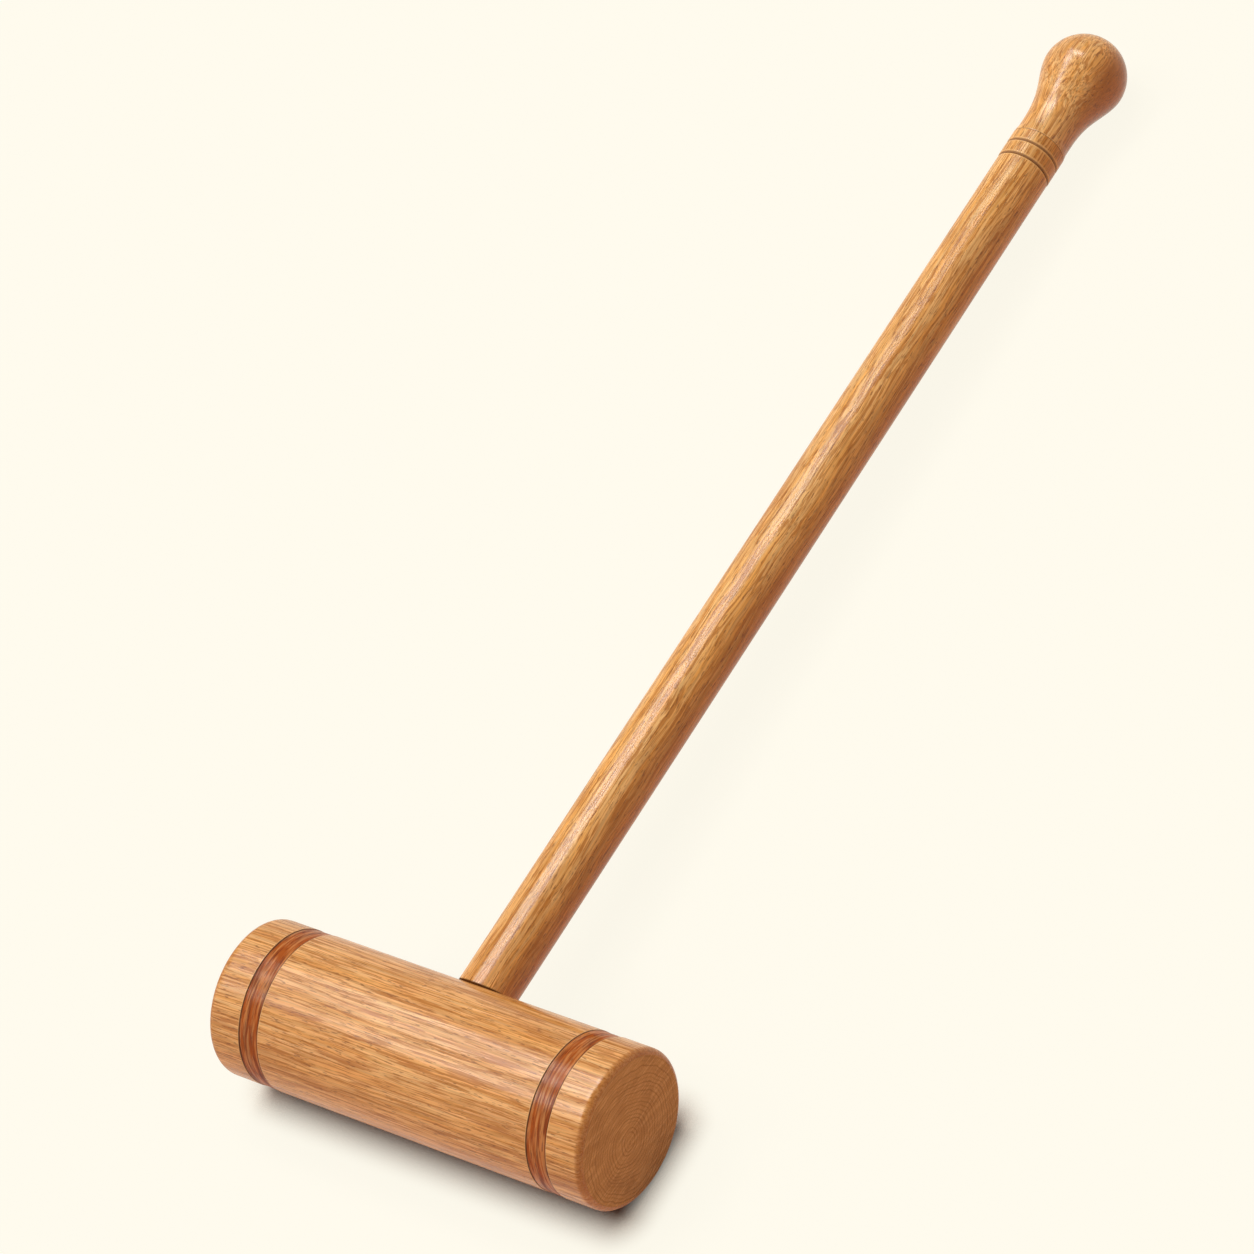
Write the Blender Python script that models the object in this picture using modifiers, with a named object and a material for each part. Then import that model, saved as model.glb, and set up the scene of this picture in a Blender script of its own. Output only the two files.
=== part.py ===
"""Lawn mallet, lying at rest on the ground.

The round wooden head lies along X and the handle runs away along +Y, falling a
little until the knob touches the ground, which is z = 0. The origin is on the
ground, under the middle of the whole mallet. Units are metres.

The mallet is first laid out upright: the head's axis is X, the handle's axis is
Z, and both pass through the centre of the head. An empty called stance then
tips the whole mallet over into the pose in which it lies.
"""
import math

import bmesh
import bpy
from mathutils import Matrix

# Gap left between two pieces that touch on the real mallet
CLEARANCE = 0.0003

# Head: a barrel, a band and an end block on each side
HEAD_RADIUS = 0.035
HEAD_LENGTH = 0.198
END_ROUND = 0.0032
END_BLOCK_LENGTH = 0.0175
BAND_WIDTH = 0.010
BAND_INSET = 0.00025
HEAD_ARRIS = 0.0005

# Round tenon on each end of the barrel, which carries the band and the end block
TENON_RADIUS = 0.018
TENON_REACH_IN_BLOCK = 0.010

# Handle shaft, and the blind mortise that its foot stands in
SHAFT_RADIUS = 0.013
SHAFT_TOP = 0.510
MORTISE_DEPTH = 0.058

# Saw kerf in the shaft's foot, and the wedge that spreads it
KERF_DEPTH = 0.034
WEDGE_LENGTH = 0.028
WEDGE_BASE = 0.0050
WEDGE_TIP = 0.0014

# Two collar rings between the shaft and the knob
LOWER_COLLAR_LENGTH = 0.0080
UPPER_COLLAR_LENGTH = 0.0065
COLLAR_PROUD = 0.0002
GROOVE_EASE = 0.0006
JOINT_EASE = 0.00015

# Pear-shaped knob: a narrow neck that swells into a half ball
KNOB_LENGTH = 0.0644
KNOB_RADIUS = 0.0200
NECK_RADIUS = 0.0127
NECK_HEIGHT = 0.0050

# How late the knob's radius grows above its neck: 1 is an even swell, more is later
NECK_SLENDERNESS = 1.6

# Dowel that joins the shaft, the collars and the knob
DOWEL_RADIUS = 0.0050
DOWEL_IN_SHAFT = 0.032
DOWEL_IN_KNOB = 0.030
DOWEL_EASE = 0.0010

# How finely the shapes are drawn: steps round an axis, pieces along an outline
HEAD_STEPS = 72
SHAFT_STEPS = 48
PIN_STEPS = 32
EDGE_PIECES = 4
BALL_PIECES = 9
FLARE_PIECES = 12
FOOT_PIECES = 3
SHARP_ANGLE = math.radians(30)
MERGE_DISTANCE = 0.00001

# Places that follow from the sizes above
HEAD_HALF = HEAD_LENGTH / 2
BAND_OUTER = HEAD_HALF - END_BLOCK_LENGTH
BAND_INNER = BAND_OUTER - BAND_WIDTH
MORTISE_FLOOR = HEAD_RADIUS - MORTISE_DEPTH
SHAFT_FOOT = MORTISE_FLOOR + CLEARANCE
COLLAR_RADIUS = SHAFT_RADIUS + COLLAR_PROUD
LOWER_COLLAR_TOP = SHAFT_TOP + LOWER_COLLAR_LENGTH
KNOB_SEAT = LOWER_COLLAR_TOP + UPPER_COLLAR_LENGTH
KNOB_TOP = KNOB_SEAT + KNOB_LENGTH
KNOB_CENTRE = KNOB_TOP - KNOB_RADIUS
DOWEL_BORE = DOWEL_RADIUS + CLEARANCE

# The mallet lies on the head's side and on the knob's ball
HANDLE_FALL = math.asin((HEAD_RADIUS - KNOB_RADIUS) / KNOB_CENTRE)
MIDDLE_Y = (KNOB_CENTRE * math.cos(HANDLE_FALL) + KNOB_RADIUS - HEAD_RADIUS) / 2

# Woods: name, linear colour, roughness
HEAD_OAK = ("lacquered_oak", (0.52, 0.27, 0.10), 0.38)
HANDLE_OAK = ("lacquered_oak", (0.46, 0.22, 0.075), 0.34)
WALNUT = ("lacquered_walnut", (0.19, 0.065, 0.025), 0.36)
BEECH = ("plain_beech", (0.60, 0.42, 0.24), 0.60)


def clear_scene():
    """Remove every object, so that the mallet is all there is."""
    for item in list(bpy.data.objects):
        bpy.data.objects.remove(item, do_unlink=True)


def make_collection(name):
    """Return a new collection that is linked to the scene."""
    collection = bpy.data.collections.new(name)
    bpy.context.scene.collection.children.link(collection)
    return collection


def add_material(piece, wood):
    """Give a piece its own material, in the colour and gloss of its wood."""
    name, colour, roughness = wood
    material = bpy.data.materials.new(piece.name + "_" + name)
    material.use_nodes = True
    shader = material.node_tree.nodes["Principled BSDF"]
    shader.inputs["Base Color"].default_value = (*colour, 1.0)
    shader.inputs["Roughness"].default_value = roughness
    shader.inputs["Metallic"].default_value = 0.0
    material.diffuse_color = (*colour, 1.0)
    piece.data.materials.append(material)


def arc(centre_r, centre_h, radius, start, end, pieces):
    """Points (radius, height) of a round stretch, angles in degrees from outward."""
    points = []
    for i in range(pieces + 1):
        angle = math.radians(start + (end - start) * i / pieces)
        points.append((centre_r + radius * math.cos(angle), centre_h + radius * math.sin(angle)))
    return points


def as_mesh(piece):
    """Make the modifiers' result the object's own mesh, shaded with sharp arrises."""
    depsgraph = bpy.context.evaluated_depsgraph_get()
    mesh = bpy.data.meshes.new_from_object(piece.evaluated_get(depsgraph))
    piece.modifiers.clear()
    piece.data = mesh
    mesh.shade_smooth()
    mesh.set_sharp_from_angle(angle=SHARP_ANGLE)
    return piece


def turned(name, profile, steps, closed=False):
    """Turn a profile round Z. It lists (radius, height) down the outer side."""
    mesh = bpy.data.meshes.new(name)
    vertices = [(r, 0.0, h) for r, h in profile]
    edges = [(i, i + 1) for i in range(len(profile) - 1)]
    if closed:
        edges.append((len(profile) - 1, 0))
    mesh.from_pydata(vertices, edges, [])
    piece = bpy.data.objects.new(name, mesh)
    PARTS.objects.link(piece)
    screw = piece.modifiers.new("turn", "SCREW")
    screw.axis = "Z"
    screw.steps = steps
    screw.render_steps = steps
    screw.use_merge_vertices = True
    screw.merge_threshold = MERGE_DISTANCE
    screw.use_smooth_shade = True
    return as_mesh(piece)


def along_head(piece, side):
    """Lay a piece turned round Z along the head, its top towards side (+1 or -1)."""
    piece.data.transform(Matrix.Rotation(math.radians(90 * side), 4, "Y"))
    return piece


def cut(piece, cutter):
    """Take the cutter's shape out of the piece."""
    CUTTERS.objects.link(cutter)
    PARTS.objects.unlink(cutter)
    cutter.hide_render = True
    cutter.display_type = "WIRE"
    boolean = piece.modifiers.new(cutter.name, "BOOLEAN")
    boolean.operation = "DIFFERENCE"
    boolean.solver = "EXACT"
    boolean.object = cutter


def wedge_shape(name, length, width, base, tip):
    """A wedge that stands on z = 0: thickness base below and tip above, along X."""
    mesh = bpy.data.meshes.new(name)
    form = bmesh.new()
    bmesh.ops.create_cube(form, size=1.0)
    for vertex in form.verts:
        thickness = tip if vertex.co.z > 0 else base
        vertex.co.x *= thickness
        vertex.co.y *= width
        vertex.co.z = (vertex.co.z + 0.5) * length
    form.to_mesh(mesh)
    form.free()
    piece = bpy.data.objects.new(name, mesh)
    PARTS.objects.link(piece)
    return piece


def make_barrel():
    """The head's middle: a cylinder with a round tenon on each end and a blind mortise."""
    shoulder = BAND_INNER - CLEARANCE / 2
    tenon_end = BAND_OUTER + TENON_REACH_IN_BLOCK
    half = [
        (0.0, tenon_end),
        (TENON_RADIUS - HEAD_ARRIS, tenon_end),
        (TENON_RADIUS, tenon_end - HEAD_ARRIS),
        (TENON_RADIUS, shoulder),
        (HEAD_RADIUS - HEAD_ARRIS, shoulder),
        (HEAD_RADIUS, shoulder - HEAD_ARRIS),
    ]
    profile = half + [(r, -h) for r, h in reversed(half)]
    barrel = along_head(turned("head_barrel", profile, HEAD_STEPS), 1)
    add_material(barrel, HEAD_OAK)
    bore = SHAFT_RADIUS + CLEARANCE
    above = HEAD_RADIUS + bore
    mortise = [(0.0, above), (bore, above), (bore, MORTISE_FLOOR), (0.0, MORTISE_FLOOR)]
    cut(barrel, turned("mortise_cutter", mortise, SHAFT_STEPS))


def make_band(name, side):
    """A darker ring on the barrel's tenon, a hair below the head's surface."""
    outer = HEAD_RADIUS - BAND_INSET
    inner = TENON_RADIUS + CLEARANCE
    top = BAND_OUTER - CLEARANCE / 2
    bottom = BAND_INNER + CLEARANCE / 2
    profile = [(outer, top), (outer, bottom), (inner, bottom), (inner, top)]
    band = along_head(turned(name, profile, HEAD_STEPS, closed=True), side)
    add_material(band, WALNUT)


def make_end_block(name, side):
    """A round block with a rounded edge on its striking face, bored for the tenon."""
    face = HEAD_HALF
    inner_face = BAND_OUTER + CLEARANCE / 2
    bore = TENON_RADIUS + CLEARANCE
    bore_floor = BAND_OUTER + TENON_REACH_IN_BLOCK + CLEARANCE
    rounded = arc(HEAD_RADIUS - END_ROUND, face - END_ROUND, END_ROUND, 90, 0, EDGE_PIECES)
    profile = [(0.0, face)] + rounded + [
        (HEAD_RADIUS, inner_face + HEAD_ARRIS),
        (HEAD_RADIUS - HEAD_ARRIS, inner_face),
        (bore, inner_face),
        (bore, bore_floor),
        (0.0, bore_floor),
    ]
    block = along_head(turned(name, profile, HEAD_STEPS), side)
    add_material(block, HEAD_OAK)


def make_shaft():
    """The straight round handle, kerfed at its foot and bored for the dowel on top."""
    top = SHAFT_TOP - CLEARANCE / 2
    bore_floor = SHAFT_TOP - DOWEL_IN_SHAFT - CLEARANCE
    profile = [
        (0.0, bore_floor),
        (DOWEL_BORE, bore_floor),
        (DOWEL_BORE, top),
        (SHAFT_RADIUS - GROOVE_EASE, top),
        (SHAFT_RADIUS, top - GROOVE_EASE),
        (SHAFT_RADIUS, SHAFT_FOOT + GROOVE_EASE),
        (SHAFT_RADIUS - GROOVE_EASE, SHAFT_FOOT),
        (0.0, SHAFT_FOOT),
    ]
    shaft = turned("handle_shaft", profile, SHAFT_STEPS)
    add_material(shaft, HANDLE_OAK)
    slope = (WEDGE_BASE - WEDGE_TIP) / WEDGE_LENGTH
    kerf_base = WEDGE_BASE + 2 * CLEARANCE + slope * CLEARANCE
    kerf_tip = kerf_base - slope * KERF_DEPTH
    kerf = wedge_shape("kerf_cutter", KERF_DEPTH * 2, SHAFT_RADIUS * 4,
                       kerf_base + slope * KERF_DEPTH, kerf_tip)
    kerf.location.z = SHAFT_FOOT - KERF_DEPTH
    cut(shaft, kerf)


def make_fox_wedge():
    """The hidden wedge that the mortise's floor drives into the shaft's kerf."""
    half_width = math.sqrt(SHAFT_RADIUS ** 2 - (WEDGE_BASE / 2) ** 2)
    wedge = wedge_shape("fox_wedge", WEDGE_LENGTH, 2 * (half_width - CLEARANCE),
                        WEDGE_BASE, WEDGE_TIP)
    wedge.location.z = MORTISE_FLOOR + CLEARANCE
    add_material(wedge, BEECH)


def make_collar(name, bottom, top, lower_ease, upper_ease):
    """A wooden ring on the dowel, with its two outer edges eased."""
    low = bottom + CLEARANCE / 2
    high = top - CLEARANCE / 2
    profile = [
        (COLLAR_RADIUS - upper_ease, high),
        (COLLAR_RADIUS, high - upper_ease),
        (COLLAR_RADIUS, low + lower_ease),
        (COLLAR_RADIUS - lower_ease, low),
        (DOWEL_BORE, low),
        (DOWEL_BORE, high),
    ]
    add_material(turned(name, profile, SHAFT_STEPS, closed=True), HANDLE_OAK)


def swell(wide, narrow, pieces, slenderness=1.0):
    """Points from a wide to a narrow (radius, height) place.

    The radius follows the s-shaped step 3w^2 - 2w^3, so the line leaves and
    arrives parallel to the handle. w is the share of the way back from the
    narrow place, raised to the slenderness.
    """
    points = []
    for i in range(pieces + 1):
        way = i / pieces
        w = (1 - way) ** slenderness
        step = w * w * (3 - 2 * w)
        radius = narrow[0] + (wide[0] - narrow[0]) * step
        points.append((radius, wide[1] + (narrow[1] - wide[1]) * way))
    return points


def make_knob():
    """The grip's pear-shaped end, turned in one piece and bored for the dowel."""
    seat = KNOB_SEAT + CLEARANCE / 2
    bore_floor = KNOB_SEAT + DOWEL_IN_KNOB + CLEARANCE
    ball = arc(0.0, KNOB_CENTRE, KNOB_RADIUS, 90, 0, BALL_PIECES)
    neck_height = KNOB_SEAT + NECK_HEIGHT
    flare = swell((KNOB_RADIUS, KNOB_CENTRE), (NECK_RADIUS, neck_height),
                  FLARE_PIECES, NECK_SLENDERNESS)
    foot = swell((NECK_RADIUS, neck_height), (COLLAR_RADIUS, seat + JOINT_EASE), FOOT_PIECES)
    profile = ball + flare[1:] + foot[1:] + [
        (COLLAR_RADIUS - JOINT_EASE, seat),
        (DOWEL_BORE, seat),
        (DOWEL_BORE, bore_floor),
        (0.0, bore_floor),
    ]
    add_material(turned("grip_knob", profile, SHAFT_STEPS), HANDLE_OAK)


def make_dowel():
    """The hidden pin through both collars, glued in the shaft and in the knob."""
    bottom = SHAFT_TOP - DOWEL_IN_SHAFT
    top = KNOB_SEAT + DOWEL_IN_KNOB
    profile = [
        (0.0, top),
        (DOWEL_RADIUS - DOWEL_EASE, top),
        (DOWEL_RADIUS, top - DOWEL_EASE),
        (DOWEL_RADIUS, bottom + DOWEL_EASE),
        (DOWEL_RADIUS - DOWEL_EASE, bottom),
        (0.0, bottom),
    ]
    add_material(turned("knob_dowel", profile, PIN_STEPS), BEECH)


def make_stance(pieces):
    """Tip the upright mallet over, so that it lies on its head and its knob."""
    stance = bpy.data.objects.new("stance", None)
    PARTS.objects.link(stance)
    stance.location = (0.0, -MIDDLE_Y, HEAD_RADIUS)
    stance.rotation_euler = (-(math.pi / 2 + HANDLE_FALL), 0.0, 0.0)
    for piece in pieces:
        piece.parent = stance


clear_scene()
PARTS = make_collection("lawn_mallet")
CUTTERS = make_collection("cutters")
make_barrel()
for side_name, side_sign in (("left", -1), ("right", 1)):
    make_band(side_name + "_band", side_sign)
    make_end_block(side_name + "_end_block", side_sign)
make_shaft()
make_fox_wedge()
make_collar("lower_collar", SHAFT_TOP, LOWER_COLLAR_TOP, GROOVE_EASE, GROOVE_EASE)
make_collar("upper_collar", LOWER_COLLAR_TOP, KNOB_SEAT, GROOVE_EASE, JOINT_EASE)
make_knob()
make_dowel()
make_stance(list(PARTS.objects) + list(CUTTERS.objects))
bpy.context.view_layer.update()
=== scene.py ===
"""Looks of the lawn mallet: turned, lacquered oak with two walnut bands.

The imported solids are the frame. Every piece that shows is made again here as a
fine surface, worked out with numpy, in the place of its solid. Lengths are in
metres. Two sets of axes are used: the world's, with the ground at z = 0, and
the mallet's own, with the origin in the middle of the head, X along the head
and Z up the handle.
"""
import math

import bmesh
import bpy
import numpy as np
from bpy.props import FloatProperty, FloatVectorProperty, PointerProperty
from mathutils import Matrix, Vector


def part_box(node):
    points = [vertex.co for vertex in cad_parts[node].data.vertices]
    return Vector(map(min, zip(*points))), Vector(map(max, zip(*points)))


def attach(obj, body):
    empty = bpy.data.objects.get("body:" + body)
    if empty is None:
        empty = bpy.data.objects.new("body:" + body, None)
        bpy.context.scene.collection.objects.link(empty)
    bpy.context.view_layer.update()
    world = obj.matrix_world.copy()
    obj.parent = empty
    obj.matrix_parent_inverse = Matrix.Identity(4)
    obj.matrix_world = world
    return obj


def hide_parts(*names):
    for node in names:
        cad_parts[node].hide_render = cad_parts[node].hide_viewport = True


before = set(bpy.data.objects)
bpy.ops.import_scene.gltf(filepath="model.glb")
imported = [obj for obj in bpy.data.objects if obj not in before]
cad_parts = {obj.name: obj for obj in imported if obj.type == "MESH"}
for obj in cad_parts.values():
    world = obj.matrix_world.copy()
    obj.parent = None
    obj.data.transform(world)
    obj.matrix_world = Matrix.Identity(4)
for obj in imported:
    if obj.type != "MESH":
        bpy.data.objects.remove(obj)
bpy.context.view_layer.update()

bl_info = {
    "name": "Lawn mallet",
    "version": (1, 0, 0),
    "blender": (4, 5, 0),
    "location": "3D View > Sidebar > Mallet",
    "description": "Builds a lacquered oak lawn mallet with walnut bands",
    "category": "Add Mesh",
}

MM = 0.001

# Sizes and places that the frame gives
BLOCK_LOW, BLOCK_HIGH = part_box("right_end_block")
BAND_LOW, BAND_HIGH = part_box("right_band")
KNOB_LOW, KNOB_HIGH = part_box("grip_knob")
SHAFT_LOW, SHAFT_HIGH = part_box("handle_shaft")
COLLAR_LOW, COLLAR_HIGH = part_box("upper_collar")
HEAD_RADIUS = round((BLOCK_HIGH.y - BLOCK_LOW.y) / 2, 4)
HEAD_HALF = BLOCK_HIGH.x
BAND_OUTER = (BLOCK_LOW.x + BAND_HIGH.x) / 2
BAND_INNER = BAND_LOW.x - (BLOCK_LOW.x - BAND_HIGH.x) / 2
TENON_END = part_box("head_barrel")[1].x
SHAFT_RADIUS = round((SHAFT_HIGH.x - SHAFT_LOW.x) / 2, 4)
COLLAR_RADIUS = round((COLLAR_HIGH.x - COLLAR_LOW.x) / 2, 4)
KNOB_RADIUS = round((KNOB_HIGH.x - KNOB_LOW.x) / 2, 4)
HEAD_CENTRE = Vector((0.0, (BLOCK_LOW.y + BLOCK_HIGH.y) / 2, HEAD_RADIUS))
BALL_REACH = KNOB_HIGH.y - KNOB_RADIUS - HEAD_CENTRE.y
HANDLE_FALL = math.atan2(HEAD_RADIUS - KNOB_RADIUS, BALL_REACH)


def handle_height(y, radius):
    """Height on the handle of a turned piece's end that reaches y in the world."""
    return (y - HEAD_CENTRE.y - radius * math.sin(HANDLE_FALL)) / math.cos(HANDLE_FALL)


KNOB_CENTRE = BALL_REACH / math.cos(HANDLE_FALL)
SHAFT_TOP = handle_height(SHAFT_HIGH.y, SHAFT_RADIUS)
SHAFT_FOOT = handle_height(SHAFT_LOW.y, -SHAFT_RADIUS)
LOWER_COLLAR_TOP = handle_height(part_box("lower_collar")[1].y, COLLAR_RADIUS)
KNOB_SEAT = handle_height(COLLAR_HIGH.y, COLLAR_RADIUS)

# The mallet's own axes in the world: across the handle's fall, and up the handle
STANCE = Matrix.Rotation(-(math.pi / 2 + HANDLE_FALL), 3, "X")
HANDLE = STANCE @ Vector((0.0, 0.0, 1.0))

# Sizes of the solids that their boxes don't show
TENON_RADIUS = 18.0 * MM
TENON_GAP = 0.3 * MM
DOWEL_BORE = 5.3 * MM
DOWEL_FLOOR = 32.3 * MM
KNOB_BORE_DEPTH = 30.3 * MM
KERF_DEPTH = 34.0 * MM
KERF_BASE = 5.64 * MM
KERF_SLOPE = 3.6 / 28.0
KERF_PAST = 1.0 * MM
KERF_REACH = 1.5
END_ROUND = 3.2 * MM
NECK_RADIUS = 12.7 * MM
NECK_HEIGHT = 5.0 * MM
NECK_SLENDERNESS = 1.6

# Small roundings and steps that the solids leave out
BAND_INSET = 0.25 * MM
BAND_ROUND = 0.15 * MM
TENON_ROUND = 0.5 * MM
BORE_ROUND = 0.3 * MM
BORE_FLOOR_ROUND = 0.2 * MM
FOOT_ROUND = 0.6 * MM
RING_ROUND = 0.1 * MM
# The middle of a rounding lies this share of it inside both sides
ROUND_MIDDLE = 0.3

# How finely the pieces are cut
HEAD_STEPS = 192
HANDLE_STEPS = 128
SHAFT_ROW = 8.0 * MM
BALL_ROWS, FLARE_ROWS, FOOT_ROWS = 31, 60, 12
ARC_STEP = 12
ARC_LEAST = 3
ARC_HOLD = 0.4
MERGE_DISTANCE = 0.002 * MM
SHARP_ANGLE = math.radians(35)

# The barrel's mesh: half the window left out for the mouth and its cells, the rows and columns
# elsewhere, and the rings on the lip, round it and down the wall. The lip's rings reach past
# its rounding, to a share of the first ring round it.
WINDOW = 18.0 * MM
WINDOW_CELLS = 36
SIDE_ROWS, FAR_COLUMNS = 50, 164
LIP_RINGS, FLAT_RINGS, WALL_RINGS = 9, 7, 12
LIP_REACH, LIP_SHARE = 1.4, 0.9


def linear(hex_colour):
    """Linear RGBA of an sRGB colour such as #C08345."""
    parts = [int(hex_colour[i:i + 2], 16) / 255 for i in (1, 3, 5)]
    return tuple(p / 12.92 if p <= 0.04045 else ((p + 0.055) / 1.055) ** 2.4 for p in parts) + (1.0,)


# Patterns along the grain: width and length in millimetres, and the two levels of noise
# between which they come in. Real pores are 0.1 to 0.3 mm wide: the lines and pores are
# drawn about twice as coarse as that, so that they show from two metres.
CLOUD = (16.0, 120.0, 0.45, 0.70)
STREAK = (2.4, 90.0, 0.32, 0.68)
FIBRE = (0.75, 30.0, 0.34, 0.66)
LINE = (1.0, 34.0, 0.545, 0.605)
FINE_LINE = (0.65, 18.0, 0.55, 0.62)
PORE = (0.55, 4.5, 0.64, 0.70)
FACE_CLOUD = (9.0, 40.0, 0.40, 0.70)
FACE_STROKE = (0.8, 9.0, 0.50, 0.62)
FACE_GRIT = (0.6, 20.0, 0.30, 0.70)
WALNUT_STREAK = (2.4, 26.0, 0.44, 0.60)
WALNUT_FIBRE = (1.1, 16.0, 0.42, 0.62)
WALNUT_PORE = (0.6, 5.0, 0.60, 0.70)
BEECH_STREAK = (2.0, 40.0, 0.30, 0.70)
BEECH_FLECK = (0.7, 3.0, 0.60, 0.68)

# How the fibres bend: width, length and amount of each bend in millimetres
HEAD_WAVES = ((30, 140, 6.0), (5, 32, 0.8))
SHAFT_WAVES = ((26, 90, 7.0), (6, 26, 1.8))
COLLAR_WAVES = ((20, 60, 3.0), (5, 20, 0.8))
KNOB_WAVES = ((18, 40, 9.0), (8, 24, 1.8))
FACE_WAVES = ((18, 60, 7.0), (2.5, 9, 0.5))
WALNUT_WAVES = ((8, 40, 1.6),)

# Year rings: the growth of a year in millimetres, the shares of it in which the early wood
# starts and has faded, and the strength of the palest year
HEAD_RING, SHAFT_RING, COLLAR_RING, FACE_RING = 3.4, 2.2, 1.8, 1.7
OAK_RISE, OAK_FALL = 0.12, 0.4
FACE_RISE, FACE_FALL = 0.25, 0.6
PALEST_YEAR = 0.25

# How much of the colours below each layer covers, how far the oak's early wood raises the
# noise of its lines and pores, and how deep the pores sink beside the fibres
CLOUD_COVER, EARLY_COVER, PORE_COVER = 0.4, 0.5, 0.6
LINE_COVER, FINE_LINE_COVER = 0.75, 0.7
EDGE_COVER, JOINT_COVER, MOUTH_COVER = 0.6, 0.7, 0.95
FACE_CLOUD_COVER, STROKE_COVER, RING_COVER = 0.25, 0.6, 0.55
DARK_STREAK_COVER, PALE_FIBRE_COVER, FLECK_COVER = 0.6, 0.5, 0.5
LINE_LIFT, PORE_LIFT = 0.05, 0.10
PORE_SINK = -1.2

# The darkest and the palest fibre against the wood's own colour, and the grain's relief
OAK_SHADES, GRIT_SHADES, BEECH_SHADES = (0.83, 1.14), (0.9, 1.1), (0.9, 1.08)
OAK_RELIEF, WALNUT_RELIEF = 0.04 * MM, 0.06 * MM
FACE_RELIEF, BEECH_RELIEF = 0.05 * MM, 0.05 * MM

# The lacquer: how much of it covers the wood where the fibres sink and where they stand up.
# Under it the wood's own roughness goes from the first value to the second.
HEAD_FILM = (0.65, 1.0)
HANDLE_FILM = (0.66, 0.78)
KNOB_FILM = (0.85, 1.0)
FACE_FILM = (0.13, 0.25)
WALNUT_FILM = (0.35, 0.65)
COAT_ROUGHNESS = 0.24
COAT_FOLLOWS = 0.04
BODY_GLOSS = 0.0
BODY_ROUGH, BODY_SMOOTH = 0.55, 0.45
SAWN_ROUGHNESS = 0.65
# The joint, groove and mouth tones are painted shade in those creases; at joints and grooves it lies over
# finish settled there
JOINT_TONE = linear("#4A1C06")
GROOVE_TONE = linear("#733A14")
FLECK_TONE = linear("#8E6238")
MOUTH_SHADE_TONE = linear("#44200A")

# How far the dark at each kind of joint reaches, the share of it that is fully dark, and how many
# times farther the paler arris goes. The dark is painted shade in the joint over the finish that
# settles there, at the mouth painted shade alone, and the paler arris is a painted highlight
# together with wear.
SEAM_SHADE = 0.32 * MM
GROOVE_SHADE = 0.95 * MM
HAIRLINE_SHADE = 0.35 * MM
BAND_SHADE = 0.6 * MM
MOUTH_SHADE = 1.6 * MM
JOINT_CORE, MOUTH_CORE, EDGE_CORE = 0.4, 0.5, 0.5
ARRIS_GLEAM_AND_WEAR = 2.0

# The striking faces: place of the tree's heart in millimetres, how far from the end the face
# starts, and the lean of the sanding strokes
FACE_HEART = (0.0, -4.0, -3.0)
FACE_SKIN = 0.1 * MM
STROKE_LEAN = math.radians(83)

# The handle's oak faces the same way in all its pieces
HANDLE_FIGURE = (-0.8, 0, 0.25)

# The stage: where the camera looks, and the lamps, each with the setting that drives it, its
# share of that, its width in degrees and where it shines from. The strip draws the long shine
# on the head, and its rear lamp brings the floor to the brightness of its own colour.
CAMERA_TARGET = Vector((-40.19, -55.9, 35.0)) * MM
SENSOR_WIDTH = 36.0
FAR_CLIP = 100.0
LAMPS = (
    ("key", "key", 1.0, 14, (-0.45, 0.10, 0.89)),
    ("front", "front", 1.0, 14, (-0.46, -0.30, 0.79)),
    ("strip_left", "strip", 0.8, 12, (-0.482, 0.382, 0.788)),
    ("strip_middle", "strip", 1.0, 12, (-0.290, 0.382, 0.877)),
    ("front_fill", "fill", 1.0, 100, (-0.5, -0.75, 0.42)),
)
STRIP_REAR = ("strip_rear", 14, (-0.091, 0.382, 0.919))
ROOM_TONE = linear("#FFF3E3")
BOUNCE_TONE = linear("#F2BE78")

# The floor: its reach, the box round the head from which its shadow fades, how far that takes
# and how much of it is lost. Then the painted contact shadow close under the wood: how far it
# looks for wood, and the shares of open sky at which it is full and gone.
FLOOR_REACH = 6.0
SHADOW_BOX = (HEAD_HALF - 9 * MM, 0.6 * HEAD_RADIUS, HEAD_RADIUS)
SHADOW_FADE = 23 * MM
SHADOW_LOST = 0.95
CONTACT_TONE = linear("#44220A")
CONTACT_REACH = 60 * MM
CONTACT_DARK, CONTACT_LIT = 0.49, 0.54
CONTACT_RAYS = 4


def length(name, description, millimetres):
    """A length property, its default given in millimetres."""
    return FloatProperty(name=name, description=description, default=millimetres * MM,
                         subtype="DISTANCE", unit="LENGTH", precision=5)


def colour(name, description, hex_colour):
    """A colour property, its default given as sRGB hex."""
    return FloatVectorProperty(name=name, description=description, size=4, min=0.0, max=1.0,
                               subtype="COLOR", default=linear(hex_colour))


class MalletSizes(bpy.types.PropertyGroup):
    """Small sizes of the turned shapes that only the eye notices."""

    mouth_gap: length("Mouth gap", "Gap round the shaft where it enters the head", 0.45)
    mouth_lip: length("Mouth lip", "Rounding of the mortise's edge", 0.7)
    arris: length("Band arris", "Rounding of the wood's edges beside a band", 0.35)
    seam: length("Seam", "Open line between a band and its neighbours", 0.08)
    groove_width: length("Groove width", "From the middle of a collar groove to its edge", 0.85)
    groove_depth: length("Groove depth", "Depth of a collar groove", 0.65)
    groove_lip: length("Groove lip", "Rounding of a collar groove's edges", 0.3)
    groove_slit: length("Groove slit", "Open slit at the bottom of a collar groove", 0.06)
    hairline: length("Hairline", "Open line between the upper collar and the knob", 0.06)


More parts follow.
